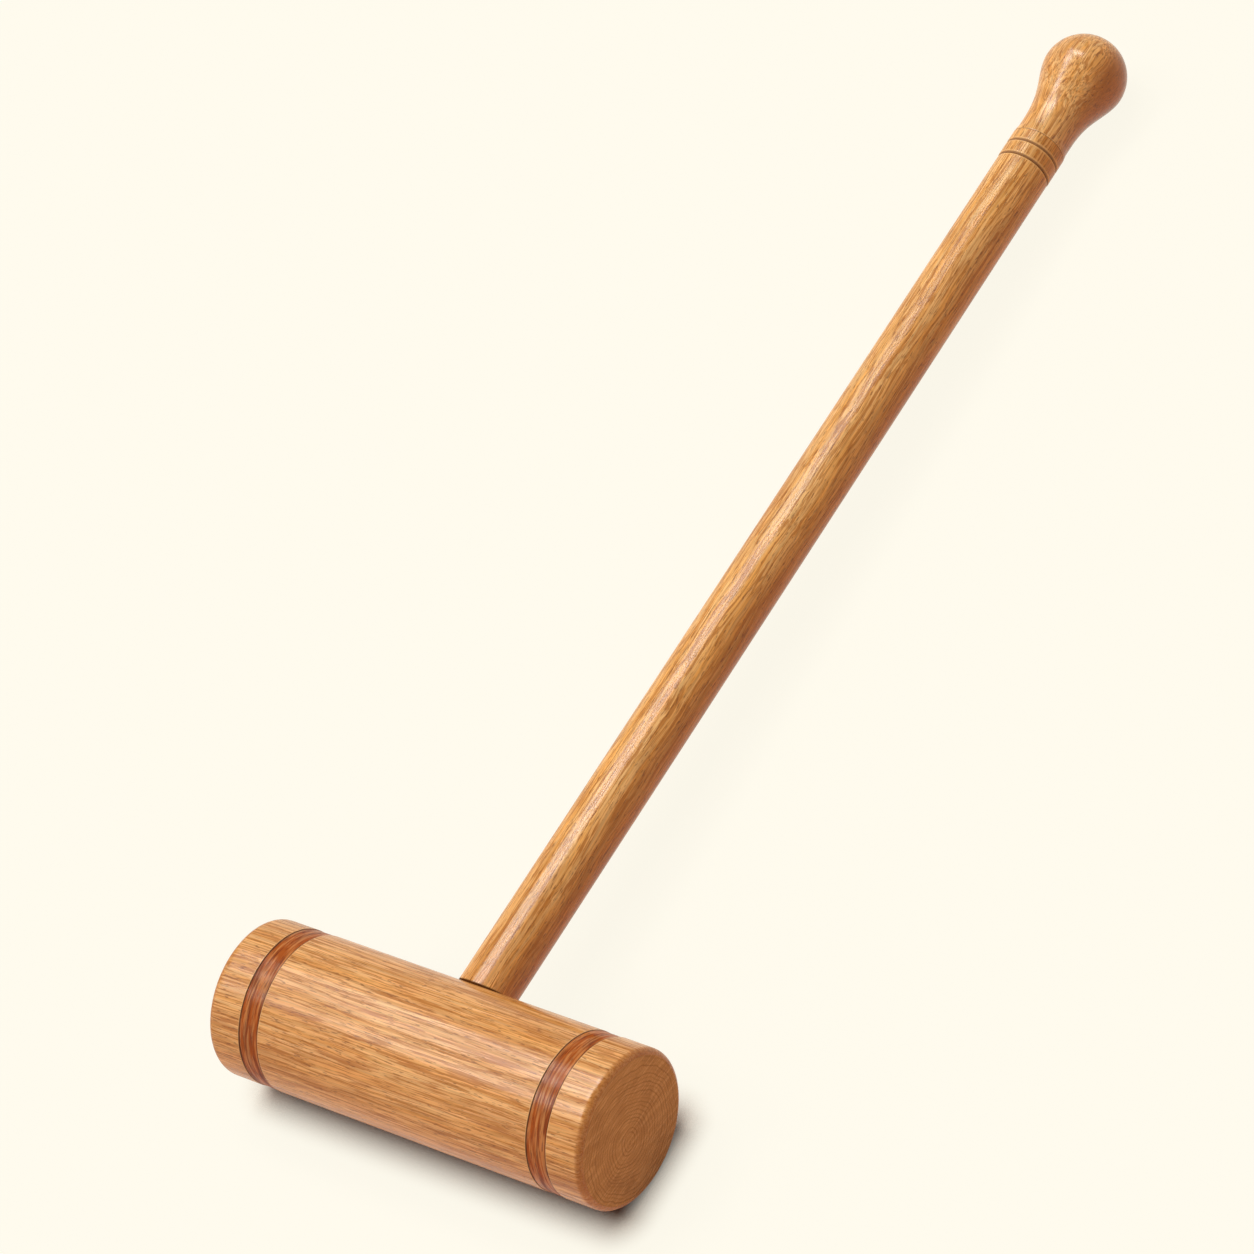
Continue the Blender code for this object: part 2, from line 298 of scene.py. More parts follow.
class MalletColours(bpy.types.PropertyGroup):
    """Colours of the woods under their lacquer."""

    head_dark: colour("Head, dark grain", "Early wood of the head's oak", "#B4691C")
    head_mid: colour("Head, body", "Main colour of the head's oak", "#E49F52")
    head_light: colour("Head, pale grain", "Late wood of the head's oak", "#F2BA7A")
    handle_dark: colour("Handle, dark grain", "Early wood of the handle's oak", "#B66C1C")
    handle_mid: colour("Handle, body", "Main colour of the handle's oak", "#F2AC56")
    handle_light: colour("Handle, pale grain", "Late wood of the handle's oak", "#F5C07C")
    pore: colour("Pores", "Dark finish caught in the oak's open pores", "#7A3E0C")
    face: colour("End grain", "Main colour of the striking faces", "#CC9C72")
    face_dark: colour("End grain, dark", "Ring lines on the striking faces", "#8E5A2A")
    face_light: colour("End grain, pale", "Sanding strokes on the striking faces", "#E6B890")
    walnut_dark: colour("Walnut, dark", "Dark streaks of the bands", "#5E2200")
    walnut_mid: colour("Walnut, body", "Main colour of the bands", "#A84E08")
    walnut_light: colour("Walnut, pale", "Pale streaks of the bands", "#E0944A")
    beech: colour("Beech", "The hidden dowel and wedge", "#C9A477")
    paper: colour("Backdrop", "Floor and background", "#FFFBEE")


class MalletStage(bpy.types.PropertyGroup):
    """Camera and light."""

    azimuth: FloatProperty(name="Azimuth", description="Camera's bearing", unit="ROTATION",
                           default=math.radians(55.15))
    elevation: FloatProperty(name="Elevation", description="Camera's height angle", unit="ROTATION",
                             default=math.radians(48.019))
    roll: FloatProperty(name="Roll", description="Camera's turn about its view", unit="ROTATION",
                        default=math.radians(-30.134))
    distance: length("Distance", "From the camera to its target", 2405.8)
    lens: FloatProperty(name="Lens", description="Focal length in millimetres", default=157.89)
    key: FloatProperty(name="Key", description="Strength of the main lamp on the left", default=0.68)
    front: FloatProperty(name="Front", description="Strength of the lamp in front of the key",
                         default=0.42)
    strip: FloatProperty(name="Strip", description="Strength of the lamps behind the key", default=0.42)
    fill: FloatProperty(name="Front fill", description="Strength of the wide light from the front",
                        default=0.6)
    ambient: FloatProperty(name="Ambient", description="Strength of the room's light", default=0.24)


def to_world(points):
    """Turn an array of points on the mallet's own axes into world points."""
    turn = np.array(STANCE)
    return points @ turn.T + np.array(HEAD_CENTRE)


def fillet(corners):
    """Round the corners of an outline, as an array of (radius, height).

    Each corner is (radius, height, rounding). A rounded corner becomes an arc
    that is tangent to both of its sides, with one more point a little way off
    on each side, so that smooth shading keeps the long sides straight.
    """
    points = []
    for i, (r, h, rounding) in enumerate(corners):
        here = np.array([r, h])
        if rounding <= 0 or i in (0, len(corners) - 1):
            points.append(here)
            continue
        before = np.array(corners[i - 1][:2]) - here
        after = np.array(corners[i + 1][:2]) - here
        before = before / np.linalg.norm(before)
        after = after / np.linalg.norm(after)
        half = math.acos(np.clip(before @ after, -1, 1)) / 2
        reach = rounding / math.tan(half)
        centre = here + (before + after) / np.linalg.norm(before + after) * rounding / math.sin(half)
        start = here + before * reach - centre
        end = here + after * reach - centre
        sweep = math.pi - 2 * half
        steps = max(ARC_LEAST, round(math.degrees(sweep) / ARC_STEP))
        # At a share s of its angle a, the arc is (sin((1 - s) a) start + sin(s a) end) / sin a
        shares = np.linspace(0, 1, steps + 1)[:, None]
        arc = (np.sin((1 - shares) * sweep) * start + np.sin(shares * sweep) * end) / math.sin(sweep)
        hold = rounding * ARC_HOLD
        points.append(centre + start + before * hold)
        points.extend(centre + arc)
        points.append(centre + end + after * hold)
    return np.array(points)


def linked(name, data):
    """A new object in the scene, at the origin."""
    item = bpy.data.objects.new(name, data)
    bpy.context.scene.collection.objects.link(item)
    return item


def add_mesh(name, vertices, faces, node):
    """Put a worked-out surface into the scene as a piece that replaces a CAD node."""
    mesh = bpy.data.meshes.new(name)
    mesh.from_pydata(vertices.tolist(), [], faces.tolist())
    form = bmesh.new()
    form.from_mesh(mesh)
    bmesh.ops.remove_doubles(form, verts=form.verts, dist=MERGE_DISTANCE)
    loose = [v for v in form.verts if not v.link_faces]
    bmesh.ops.delete(form, geom=loose, context="VERTS")
    bmesh.ops.recalc_face_normals(form, faces=form.faces)
    form.to_mesh(mesh)
    form.free()
    mesh.shade_smooth()
    mesh.set_sharp_from_angle(angle=SHARP_ANGLE)
    piece = linked(name, mesh)
    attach(piece, "root")
    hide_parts(node)
    return piece


def quads(rows, columns, offset=0):
    """Corner numbers of the quads of a grid whose columns run round and meet."""
    row, column = np.meshgrid(np.arange(rows - 1), np.arange(columns), indexing="ij")
    after = (column + 1) % columns
    corners = [row * columns + column, row * columns + after,
               (row + 1) * columns + after, (row + 1) * columns + column]
    return np.stack([c.ravel() for c in corners], axis=1) + offset


def turned(outline, steps, axis, side=1):
    """Turn an outline round the head's or the handle's axis.

    A point at radius r and height h, turned by an angle a, lies at
    (r cos a, r sin a, h) on the handle and at (side h, r cos a, r sin a) on the head.
    """
    angle = np.linspace(0, 2 * math.pi, steps, endpoint=False)
    radius, height = outline[:, :1], outline[:, 1:]
    across, up = radius * np.cos(angle), radius * np.sin(angle)
    along = np.broadcast_to(height, across.shape)
    order = (across, up, along) if axis == "handle" else (side * along, across, up)
    return np.stack([part.ravel() for part in order], axis=1), quads(len(outline), steps)


def closed(outline):
    """An outline that ends where it starts."""
    return np.vstack([outline, outline[:1]])


def refined(outline, step):
    """An outline whose sides are cut evenly into sides no longer than a step.

    The shape stays, and no face is as long as the handle.
    """
    sides = np.linalg.norm(np.diff(outline, axis=0), axis=1)
    corners = np.concatenate([[0], np.cumsum(np.maximum(1, np.ceil(sides / step)))])
    place = np.arange(corners[-1] + 1)
    return np.stack([np.interp(place, corners, outline[:, i]) for i in (0, 1)], axis=1)


def swell(wide, narrow, pieces, slenderness=1.0):
    """Outline from a wide to a narrow (radius, height) place.

    The radius follows 3w^2 - 2w^3, where w is the share of the way back from
    the narrow place, raised to the slenderness.
    """
    way = np.linspace(0, 1, pieces + 1)
    w = (1 - way) ** slenderness
    step = w * w * (3 - 2 * w)
    radius = narrow[0] + (wide[0] - narrow[0]) * step
    return np.stack([radius, wide[1] + (narrow[1] - wide[1]) * way], axis=1)


def add(tree, kind, inputs=None, **settings):
    """Add a node with its settings and links.

    Each input takes a value, a socket, or the first output in use of a node. Inputs
    of one name go by number: a colour Mix has its share at 0 and its colours at 6 and 7.
    """
    node = tree.nodes.new("ShaderNode" + kind)
    for key, value in settings.items():
        setattr(node, key, value)
    for key, value in (inputs or {}).items():
        if isinstance(value, bpy.types.Node):
            value = next(socket for socket in value.outputs if socket.enabled)
        if isinstance(value, bpy.types.NodeSocket):
            tree.links.new(value, node.inputs[key])
        else:
            node.inputs[key].default_value = value
    return node


def new_material(name):
    """An empty node material and its tree."""
    material = bpy.data.materials.new(name)
    material.use_nodes = True
    material.node_tree.nodes.clear()
    return material, material.node_tree


def wood_points(tree, axes, centre):
    """Object coordinates in millimetres, on the wood's own axes.

    The axes are the directions that become X, Y and Z, and the centre becomes zero.
    Z runs along the fibres.
    """
    turn = Matrix(axes)
    place = add(tree, "TexCoord")
    return add(tree, "Mapping", {
        "Vector": place.outputs["Object"], "Location": -(turn @ Vector(centre)) / MM,
        "Rotation": turn.to_euler(), "Scale": (1 / MM, 1 / MM, 1 / MM)})


def from_centre(tree, centre):
    """Object coordinates less a centre, in metres."""
    place = add(tree, "TexCoord")
    return add(tree, "VectorMath", {0: place.outputs["Object"], 1: centre}, operation="SUBTRACT")


def streaks(tree, points, pattern, lift=None, detail=2.0):
    """Streaks along the grain, from 0 between them to 1 in them.

    The pattern gives their width and length in millimetres and two levels of
    noise, between which they come in: close levels give crisp lines and far
    ones soft clouds. The lift is another pattern and how far it raises the noise.
    """
    width, length, low, high = pattern
    stretched = add(tree, "Mapping", {"Vector": points, "Scale": (1 / width, 1 / width, 1 / length)})
    level = add(tree, "TexNoise", {"Vector": stretched, "Scale": 1.0, "Detail": detail})
    if lift:
        level = add(tree, "Math", {0: lift[0], 1: lift[1], 2: level}, operation="MULTIPLY_ADD")
    return add(tree, "MapRange", {"Value": level, "From Min": low, "From Max": high},
               interpolation_type="SMOOTHSTEP")


def bent(tree, points, waves):
    """Points moved across the grain by noise, so that the fibres bend.

    Each wave is the noise's width and length and an amount, of which the points
    move by up to about half. All are in millimetres.
    """
    for width, length, amount in waves:
        stretched = add(tree, "Mapping", {"Vector": points, "Scale": (1 / width, 1 / width, 1 / length)})
        noise = add(tree, "TexNoise", {"Vector": stretched, "Scale": 1.0, "Detail": 2.0})
        offset = add(tree, "VectorMath", {
            0: noise.outputs["Color"], 1: (amount, amount, 0), 2: (-amount / 2, -amount / 2, 0)},
            operation="MULTIPLY_ADD")
        points = add(tree, "VectorMath", {0: points, 1: offset}, operation="ADD")
    return points


def year_rings(tree, points, heart, ring, rise, fall):
    """Dark early wood of each year: a quick start at the ring's edge, then a slow fade.

    The ring's number is the distance from the tree's heart over the growth of
    a year. Its fraction is the place in the year, and its whole part picks how
    dark that year is.
    """
    across = add(tree, "VectorMath", {0: points, 1: (1, 1, 0), 2: (heart, 0, 0)}, operation="MULTIPLY_ADD")
    distance = add(tree, "VectorMath", {0: across}, operation="LENGTH")
    years = add(tree, "Math", {0: distance, 1: ring}, operation="DIVIDE")
    part = add(tree, "Math", {0: years}, operation="FRACT")
    number = add(tree, "Math", {0: years}, operation="FLOOR")
    year = add(tree, "TexWhiteNoise", {"W": number}, noise_dimensions="1D")
    strength = add(tree, "MapRange", {"Value": year, "To Min": PALEST_YEAR})
    start = add(tree, "MapRange", {"Value": part, "From Max": rise}, interpolation_type="SMOOTHSTEP")
    fade = add(tree, "MapRange", {"Value": part, "From Min": fall, "From Max": rise},
               interpolation_type="SMOOTHSTEP")
    early = add(tree, "Math", {0: start, 1: fade}, operation="MULTIPLY")
    return add(tree, "Math", {0: early, 1: strength}, operation="MULTIPLY")


def joint_shade(tree, axis, centre, places, reach, core=JOINT_CORE):
    """1 at a joint and 0 at the reach from it, for joints at some places along an axis.

    The core is the share of the reach that is fully dark. At a joint the dark is
    painted shade in the crease, over the finish and dust that settle there.
    """
    along = add(tree, "VectorMath", {0: from_centre(tree, centre), 1: axis}, operation="DOT_PRODUCT")
    # The start is farther than any shade reaches
    nearest = 2 * HEAD_HALF
    for joint in places:
        signed = add(tree, "Math", {0: along, 1: joint}, operation="SUBTRACT")
        distance = add(tree, "Math", {0: signed}, operation="ABSOLUTE")
        nearest = add(tree, "Math", {0: distance, 1: nearest}, operation="MINIMUM")
    return add(tree, "MapRange", {"Value": nearest, "From Min": reach, "From Max": reach * core},
               interpolation_type="SMOOTHSTEP")


def mouth_shade(tree):
    """1 on the shaft where it enters the head and 0 a little above, by distance from the head's axis: the
    mask of a painted shade at the mouth.
    """
    offset = from_centre(tree, HEAD_CENTRE)
    across = add(tree, "VectorMath", {0: offset, 1: (0, 1, 1)}, operation="MULTIPLY")
    distance = add(tree, "VectorMath", {0: across}, operation="LENGTH")
    return add(tree, "MapRange", {
        "Value": distance, "From Min": HEAD_RADIUS + MOUTH_SHADE,
        "From Max": HEAD_RADIUS + MOUTH_SHADE * MOUTH_CORE}, interpolation_type="SMOOTHSTEP")


def tones(*names):
    """Colours from the settings, by name."""
    colours = bpy.context.scene.mallet_colours
    return [tuple(getattr(colours, name)) for name in names]


def layered(tree, tone, layers):
    """Lay colours over a tone one after another, each where its pattern is 1 and at its strength."""
    for pattern, strength, colour_over in layers:
        share = add(tree, "Math", {0: pattern, 1: strength}, operation="MULTIPLY")
        tone = add(tree, "Mix", {0: share, 6: tone, 7: colour_over}, data_type="RGBA")
    return tone


def fibrous(tree, tone, fibre, shades):
    """A tone made darker where the fibres sink and paler where they stand up, by two factors."""
    shade = add(tree, "MapRange", {"Value": fibre, "To Min": shades[0], "To Max": shades[1]})
    return add(tree, "VectorMath", {0: tone, "Scale": shade}, operation="SCALE")


def lacquered(tree, tone, fibre, height, depth, film, bare=None):
    """Finish a wood: its body under a thin satin lacquer that follows the grain a little.

    The height's depth is in metres. Fibres that stand up are a little shinier. The film is
    how much lacquer covers the sunk and the raised fibres, and a bare pattern takes it away;
    the shaft's painted mouth shade is given as that pattern, so that it shows no shine.
    """
    roughness = add(tree, "MapRange", {"Value": fibre, "To Min": BODY_ROUGH, "To Max": BODY_SMOOTH})
    bump = add(tree, "Bump", {"Height": height, "Distance": depth, "Strength": 1.0})
    soft = add(tree, "Bump", {"Height": height, "Distance": depth, "Strength": COAT_FOLLOWS})
    cover = add(tree, "MapRange", {"Value": fibre, "To Min": film[0], "To Max": film[1]})
    if bare:
        covered = add(tree, "Math", {0: 1.0, 1: bare}, operation="SUBTRACT")
        cover = add(tree, "Math", {0: cover, 1: covered}, operation="MULTIPLY")
    shader = add(tree, "BsdfPrincipled", {
        "Base Color": tone, "Roughness": roughness, "Specular IOR Level": BODY_GLOSS, "Normal": bump,
        "Coat Weight": cover, "Coat Roughness": COAT_ROUGHNESS, "Coat Normal": soft})
    add(tree, "OutputMaterial", {"Surface": shader})


def oak(name, part, grain, figure, centre, heart, ring, waves, film, shaded_side=None, joints=None,
        mouth=False, edge=False):
    """Turned oak under satin lacquer.

    Oak is ring-porous: each year starts with a dark, porous line that fades
    into smooth pale wood. The open pores show as fine dark dashes along the
    grain, and the lacquer gives a soft, slightly broken shine.
    part names its colours, the head's or the handle's. grain is the direction
    of the fibres and figure the direction in which the year rings face.
    heart is the distance back from the centre to the tree's heart, ring the
    growth of a year and waves the (width, length, amount) of each bend of the
    fibres, all in millimetres. film is the lacquer's cover. shaded_side is a
    painted shade on the handle's side away from the lamps, laid out like darker
    heartwood: the place, outwards from the centre, where it ends, how soft its
    border is, and its strength. joints are an axis, its origin, the places of
    the joints on it, the reach of their dark and its tone: the dark is painted
    shade in the joint over the finish settled there, and beside it the arrises
    are paler, a painted highlight together with wear. mouth darkens the shaft
    with painted shade where it enters the head, and edge the rounded end of the head.
    """
    dark, middle, pale, pore_tone = tones(part + "_dark", part + "_mid", part + "_light", "pore")
    material, tree = new_material(name)
    along = Vector(grain).normalized()
    side = along.cross(Vector(figure)).normalized()
    points = bent(tree, wood_points(tree, (side.cross(along), side, along), centre), waves)
    early = year_rings(tree, points, heart, ring, OAK_RISE, OAK_FALL)
    fibre = streaks(tree, points, FIBRE)
    pores = streaks(tree, points, PORE, (early, PORE_LIFT), 1.0)
    tone = layered(tree, pale, [(streaks(tree, points, STREAK, detail=3.0), 1.0, middle),
                                (streaks(tree, points, CLOUD), CLOUD_COVER, dark)])
    # A darker side: painted shade where the handle turns away from the lamps, laid out like heartwood
    if shaded_side:
        border, soft, strength = shaded_side
        outwards = add(tree, "SeparateXYZ", {0: points})
        inner = add(tree, "MapRange", {
            "Value": outwards, "From Min": border + soft, "From Max": border - soft},
            interpolation_type="SMOOTHSTEP")
        tone = layered(tree, tone, [(inner, strength, dark)])
    tone = layered(tree, fibrous(tree, tone, fibre, OAK_SHADES), [
        (early, EARLY_COVER, dark), (streaks(tree, points, LINE, (early, LINE_LIFT)), LINE_COVER, dark),
        (streaks(tree, points, FINE_LINE), FINE_LINE_COVER, dark), (pores, PORE_COVER, pore_tone)])
    if edge:
        shade = joint_shade(tree, (1, 0, 0), HEAD_CENTRE, (-HEAD_HALF, HEAD_HALF), END_ROUND, EDGE_CORE)
        tone = layered(tree, tone, [(shade, EDGE_COVER, dark)])
    if joints:
        axis, origin, places, reach, joint_tone = joints
        # Painted highlight with wear on the arrises beside each joint, then painted shade over settled
        # finish in the joint
        for width, tint in ((reach * ARRIS_GLEAM_AND_WEAR, pale), (reach, joint_tone)):
            shade = joint_shade(tree, axis, origin, places, width)
            tone = layered(tree, tone, [(shade, JOINT_COVER, tint)])
    painted_mouth_shade = None
    # Painted shade on the shaft where it enters the head
    if mouth:
        painted_mouth_shade = mouth_shade(tree)
        tone = layered(tree, tone, [(painted_mouth_shade, MOUTH_COVER, MOUTH_SHADE_TONE)])
    height = add(tree, "Math", {0: pores, 1: PORE_SINK, 2: fibre}, operation="MULTIPLY_ADD")
    lacquered(tree, tone, fibre, height, OAK_RELIEF, film, painted_mouth_shade)
    return material


def end_grain(name):
    """Oak cut across the grain, sanded and lacquered: the striking faces.

    End grain drinks more of the finish, so it is darker and duller than the
    side, and shows the year rings as closed curves round the tree's heart.
    The slanted strokes are the marks of sanding.
    """
    face_tone, line_tone, pale_tone = tones("face", "face_dark", "face_light")
    material, tree = new_material(name)
    points = wood_points(tree, ((0, 1, 0), (0, 0, 1), (1, 0, 0)), HEAD_CENTRE + Vector(FACE_HEART) * MM)
    curved = bent(tree, points, FACE_WAVES)
    rings = year_rings(tree, curved, 0.0, FACE_RING, FACE_RISE, FACE_FALL)
    lean = add(tree, "Mapping", {"Vector": points, "Rotation": (math.pi / 2, STROKE_LEAN, 0)})
    grit = streaks(tree, points, FACE_GRIT)
    tone = layered(tree, fibrous(tree, face_tone[:3], grit, GRIT_SHADES), [
        (streaks(tree, curved, FACE_CLOUD), FACE_CLOUD_COVER, line_tone),
        (streaks(tree, lean, FACE_STROKE), STROKE_COVER, pale_tone), (rings, RING_COVER, line_tone)])
    lacquered(tree, tone, grit, grit, FACE_RELIEF, FACE_FILM)
    return material


def walnut(name):
    """Walnut rings bent round the head, under the same lacquer.

    Walnut is half ring-porous: it shows soft darker streaks and short pores,
    here along the ring, because the grain runs round it.
    """
    dark, middle, pale = tones("walnut_dark", "walnut_mid", "walnut_light")
    material, tree = new_material(name)
    # Streaks are drawn on axes whose Z is the way round the ring, worked out from the place on it
    parts = add(tree, "SeparateXYZ", {0: from_centre(tree, HEAD_CENTRE)})
    turn = add(tree, "Math", {0: parts.outputs["Y"], 1: parts.outputs["Z"]}, operation="ARCTAN2")
    round_way = add(tree, "Math", {0: turn, 1: HEAD_RADIUS / MM}, operation="MULTIPLY")
    side_way = add(tree, "Math", {0: parts.outputs["X"], 1: 1 / MM}, operation="MULTIPLY")
    points = bent(tree, add(tree, "CombineXYZ", {"X": side_way, "Z": round_way}), WALNUT_WAVES)
    fibre = streaks(tree, points, WALNUT_FIBRE, detail=3.0)
    pores = streaks(tree, points, WALNUT_PORE, detail=1.0)
    places = (-BAND_OUTER, -BAND_INNER, BAND_INNER, BAND_OUTER)
    # The band darkens at its seams: painted shade in the seam over the finish settled there
    tone = layered(tree, middle, [
        (streaks(tree, points, WALNUT_STREAK), DARK_STREAK_COVER, dark), (fibre, PALE_FIBRE_COVER, pale),
        (pores, PORE_COVER, dark),
        (joint_shade(tree, (1, 0, 0), HEAD_CENTRE, places, BAND_SHADE), JOINT_COVER, JOINT_TONE)])
    height = add(tree, "Math", {0: fibre, 1: pores}, operation="SUBTRACT")
    lacquered(tree, tone, fibre, height, WALNUT_RELIEF, WALNUT_FILM)
    return material


def beech(name):
    """Plain unfinished beech: pale and even, with short fine flecks along the grain."""
    tone = tones("beech")[0]
    material, tree = new_material(name)
    points = wood_points(tree, STANCE.transposed(), HEAD_CENTRE)
    fleck = streaks(tree, points, BEECH_FLECK, detail=1.0)
    body = fibrous(tree, tone[:3], streaks(tree, points, BEECH_STREAK), BEECH_SHADES)
    body = layered(tree, body, [(fleck, FLECK_COVER, FLECK_TONE)])
    bump = add(tree, "Bump", {"Height": fleck, "Distance": BEECH_RELIEF})
    shader = add(tree, "BsdfPrincipled", {"Base Color": body, "Roughness": SAWN_ROUGHNESS, "Normal": bump})
    add(tree, "OutputMaterial", {"Surface": shader})
    return material


def shows_paper(tree):
    """1 for the rays that show the backdrop: the camera's, and those in a gloss or through glass."""
    path = add(tree, "LightPath")
    seen = path.outputs["Is Camera Ray"]
    for kind in ("Is Glossy Ray", "Is Transmission Ray"):
        seen = add(tree, "Math", {0: seen, 1: path.outputs[kind]}, operation="MAXIMUM")
    return seen


class MALLET_OT_barrel(bpy.types.Operator):
    """Make the head's barrel, with the mortise's mouth where the shaft goes in"""

    bl_idname = "mallet.barrel"
    bl_label = "Barrel"

    def execute(self, context):
        sizes = context.scene.mallet_sizes
        lip = sizes.mouth_lip
        bore = SHAFT_RADIUS + sizes.mouth_gap
        shoulder = BAND_INNER - sizes.seam / 2
        end = fillet([
            (0.0, TENON_END, 0), (TENON_RADIUS, TENON_END, TENON_ROUND), (TENON_RADIUS, shoulder, 0),
            (HEAD_RADIUS, shoulder, sizes.arris), (HEAD_RADIUS, WINDOW, 0),
        ])[:-1]
        side = np.linspace(end[-1, 1], WINDOW, SIDE_ROWS)[1:-1]
        middle = np.linspace(WINDOW, -WINDOW, WINDOW_CELLS + 1)
        side, middle = (np.stack([np.full_like(way, HEAD_RADIUS), way], axis=1) for way in (side, middle))
        half = np.vstack([end, side])
        outline = np.vstack([half, middle, half[::-1] * (1, -1)])
        # A point at radius r, turned by an angle a from the handle's direction, lies at (h, r sin a,
        # r cos a). The window's cells are spaced evenly.
        window_angle = WINDOW / HEAD_RADIUS
        inside = np.linspace(-window_angle, window_angle, WINDOW_CELLS + 1)
        outside = np.linspace(window_angle, 2 * math.pi - window_angle, FAR_COLUMNS)[1:-1]
        angle = np.concatenate([inside, outside])
        radius, height = outline[:, :1], outline[:, 1:]
        grid = np.stack([np.broadcast_to(height, (len(outline), len(angle))),
                         radius * np.sin(angle), radius * np.cos(angle)], axis=-1)
        rows, columns = grid.shape[:2]
        faces = quads(rows, columns)
        row, column = np.divmod(np.arange(len(faces)), columns)
        in_window = (row >= len(half)) & (row < len(half) + WINDOW_CELLS) & (column < WINDOW_CELLS)
        vertices, faces = grid.reshape(-1, 3), faces[~in_window]
        # The window's edge, walked once round, as (along, angle)
        walk = np.linspace(-1, 1, WINDOW_CELLS + 1)[:-1]
        one = np.ones(WINDOW_CELLS)
        edge = np.vstack([np.stack([one, walk], 1), np.stack([-walk, one], 1),
                          np.stack([-one, -walk], 1), np.stack([walk, -one], 1)])
        edge = edge * (WINDOW, window_angle)
        # The mouth is where a cylinder of the bore's radius, at (b cos t, b sin t), meets the head.
        # Rings go from it to the window's edge by shares of the way, and near it the head's
        # radius drops by the lip's quarter circle, l - sqrt(l^2 - (l - gap)^2).
        turn = np.arctan2(edge[:, 1] * HEAD_RADIUS, edge[:, 0])
        mouth = np.stack([bore * np.cos(turn), np.arcsin(bore * np.sin(turn) / HEAD_RADIUS)], axis=1)
        lip_end = lip * LIP_REACH / (WINDOW - bore)
        share = np.concatenate([np.linspace(0, 1, LIP_RINGS) ** 2 * lip_end * LIP_SHARE,
                                np.linspace(lip_end, 1, FLAT_RINGS)])
        flat = mouth + (edge - mouth) * share[:, None, None]
        gap = np.hypot(flat[..., 0] - mouth[:, 0], (flat[..., 1] - mouth[:, 1]) * HEAD_RADIUS)
        inset = np.clip(lip - gap, 0, lip)
        skin = HEAD_RADIUS - (lip - np.sqrt(lip ** 2 - inset ** 2))
        patch = np.stack([flat[..., 0], skin * np.sin(flat[..., 1]), skin * np.cos(flat[..., 1])], -1)
        # The wall goes straight down from the mouth to the mortise's floor, a fan round its centre
        floor = np.array([0.0, 0.0, SHAFT_FOOT - TENON_GAP])
        rise = np.linspace(0, 1, WALL_RINGS)[:-1, None, None]
        wall = np.where([True, True, False], patch[0], floor + (patch[0] - floor) * rise)
        centre = np.broadcast_to(floor, (1, len(turn), 3))
        funnel = np.vstack([centre, wall, patch])
        more = quads(len(funnel), len(turn), offset=len(vertices))
        vertices = np.vstack([vertices, funnel.reshape(-1, 3)])
        piece = add_mesh("barrel", to_world(vertices), np.vstack([faces, more]), "head_barrel")
        joints = ((1, 0, 0), HEAD_CENTRE, (-BAND_INNER, BAND_INNER), SEAM_SHADE, JOINT_TONE)
        piece.data.materials.append(oak(
            "lacquered_oak_barrel", "head", grain=(1, 0, 0.02), figure=(0, -0.67, 0.74),
            centre=HEAD_CENTRE, heart=60, ring=HEAD_RING, waves=HEAD_WAVES, film=HEAD_FILM, joints=joints))
        return {"FINISHED"}


class MALLET_OT_bands(bpy.types.Operator):
    """Make the two walnut bands"""

    bl_idname = "mallet.bands"
    bl_label = "Bands"

    def execute(self, context):
        sizes = context.scene.mallet_sizes
        outer = HEAD_RADIUS - BAND_INSET
        inner = TENON_RADIUS + TENON_GAP
        high, low = BAND_OUTER - sizes.seam / 2, BAND_INNER + sizes.seam / 2
        outline = closed(fillet([
            (inner, high, 0), (outer, high, BAND_ROUND), (outer, low, BAND_ROUND), (inner, low, 0)]))
        material = walnut("lacquered_walnut_ring")
        for name, side in (("left_band", -1), ("right_band", 1)):
            vertices, faces = turned(outline, HEAD_STEPS, "head", side)
            piece = add_mesh(name + "_ring", to_world(vertices), faces, name)
            piece.data.materials.append(material)
        return {"FINISHED"}


class MALLET_OT_end_blocks(bpy.types.Operator):
    """Make the two end blocks, with their rounded striking faces"""

    bl_idname = "mallet.end_blocks"
    bl_label = "End blocks"

    def execute(self, context):
        sizes = context.scene.mallet_sizes
        inner_face = BAND_OUTER + sizes.seam / 2
        bore = TENON_RADIUS + TENON_GAP
        floor = TENON_END + TENON_GAP
        outline = fillet([
            (0.0, HEAD_HALF, 0), (HEAD_RADIUS, HEAD_HALF, END_ROUND),
            (HEAD_RADIUS, inner_face, sizes.arris), (bore, inner_face, BORE_ROUND),
            (bore, floor, BORE_ROUND), (0.0, floor, 0),
        ])
        joints = ((1, 0, 0), HEAD_CENTRE, (-BAND_OUTER, BAND_OUTER), SEAM_SHADE, JOINT_TONE)
        side_finish = oak(
            "lacquered_oak_end_block", "head", grain=(1, 0.02, 0), figure=(0, 0.5, -0.85),
            centre=HEAD_CENTRE, heart=50, ring=HEAD_RING, waves=HEAD_WAVES, film=HEAD_FILM,
            joints=joints, edge=True)
        face_finish = end_grain("lacquered_oak_end_grain")
        for name, side in (("left_end_block", -1), ("right_end_block", 1)):
            vertices, faces = turned(outline, HEAD_STEPS, "head", side)
            piece = add_mesh(name + "_turned", to_world(vertices), faces, name)
            piece.data.materials.append(side_finish)
            piece.data.materials.append(face_finish)
            places = np.empty(len(piece.data.polygons) * 3)
            piece.data.polygons.foreach_get("center", places)
            on_face = np.abs(places[::3]) > HEAD_HALF - FACE_SKIN
            piece.data.polygons.foreach_set("material_index", on_face.astype(np.int32))
        return {"FINISHED"}


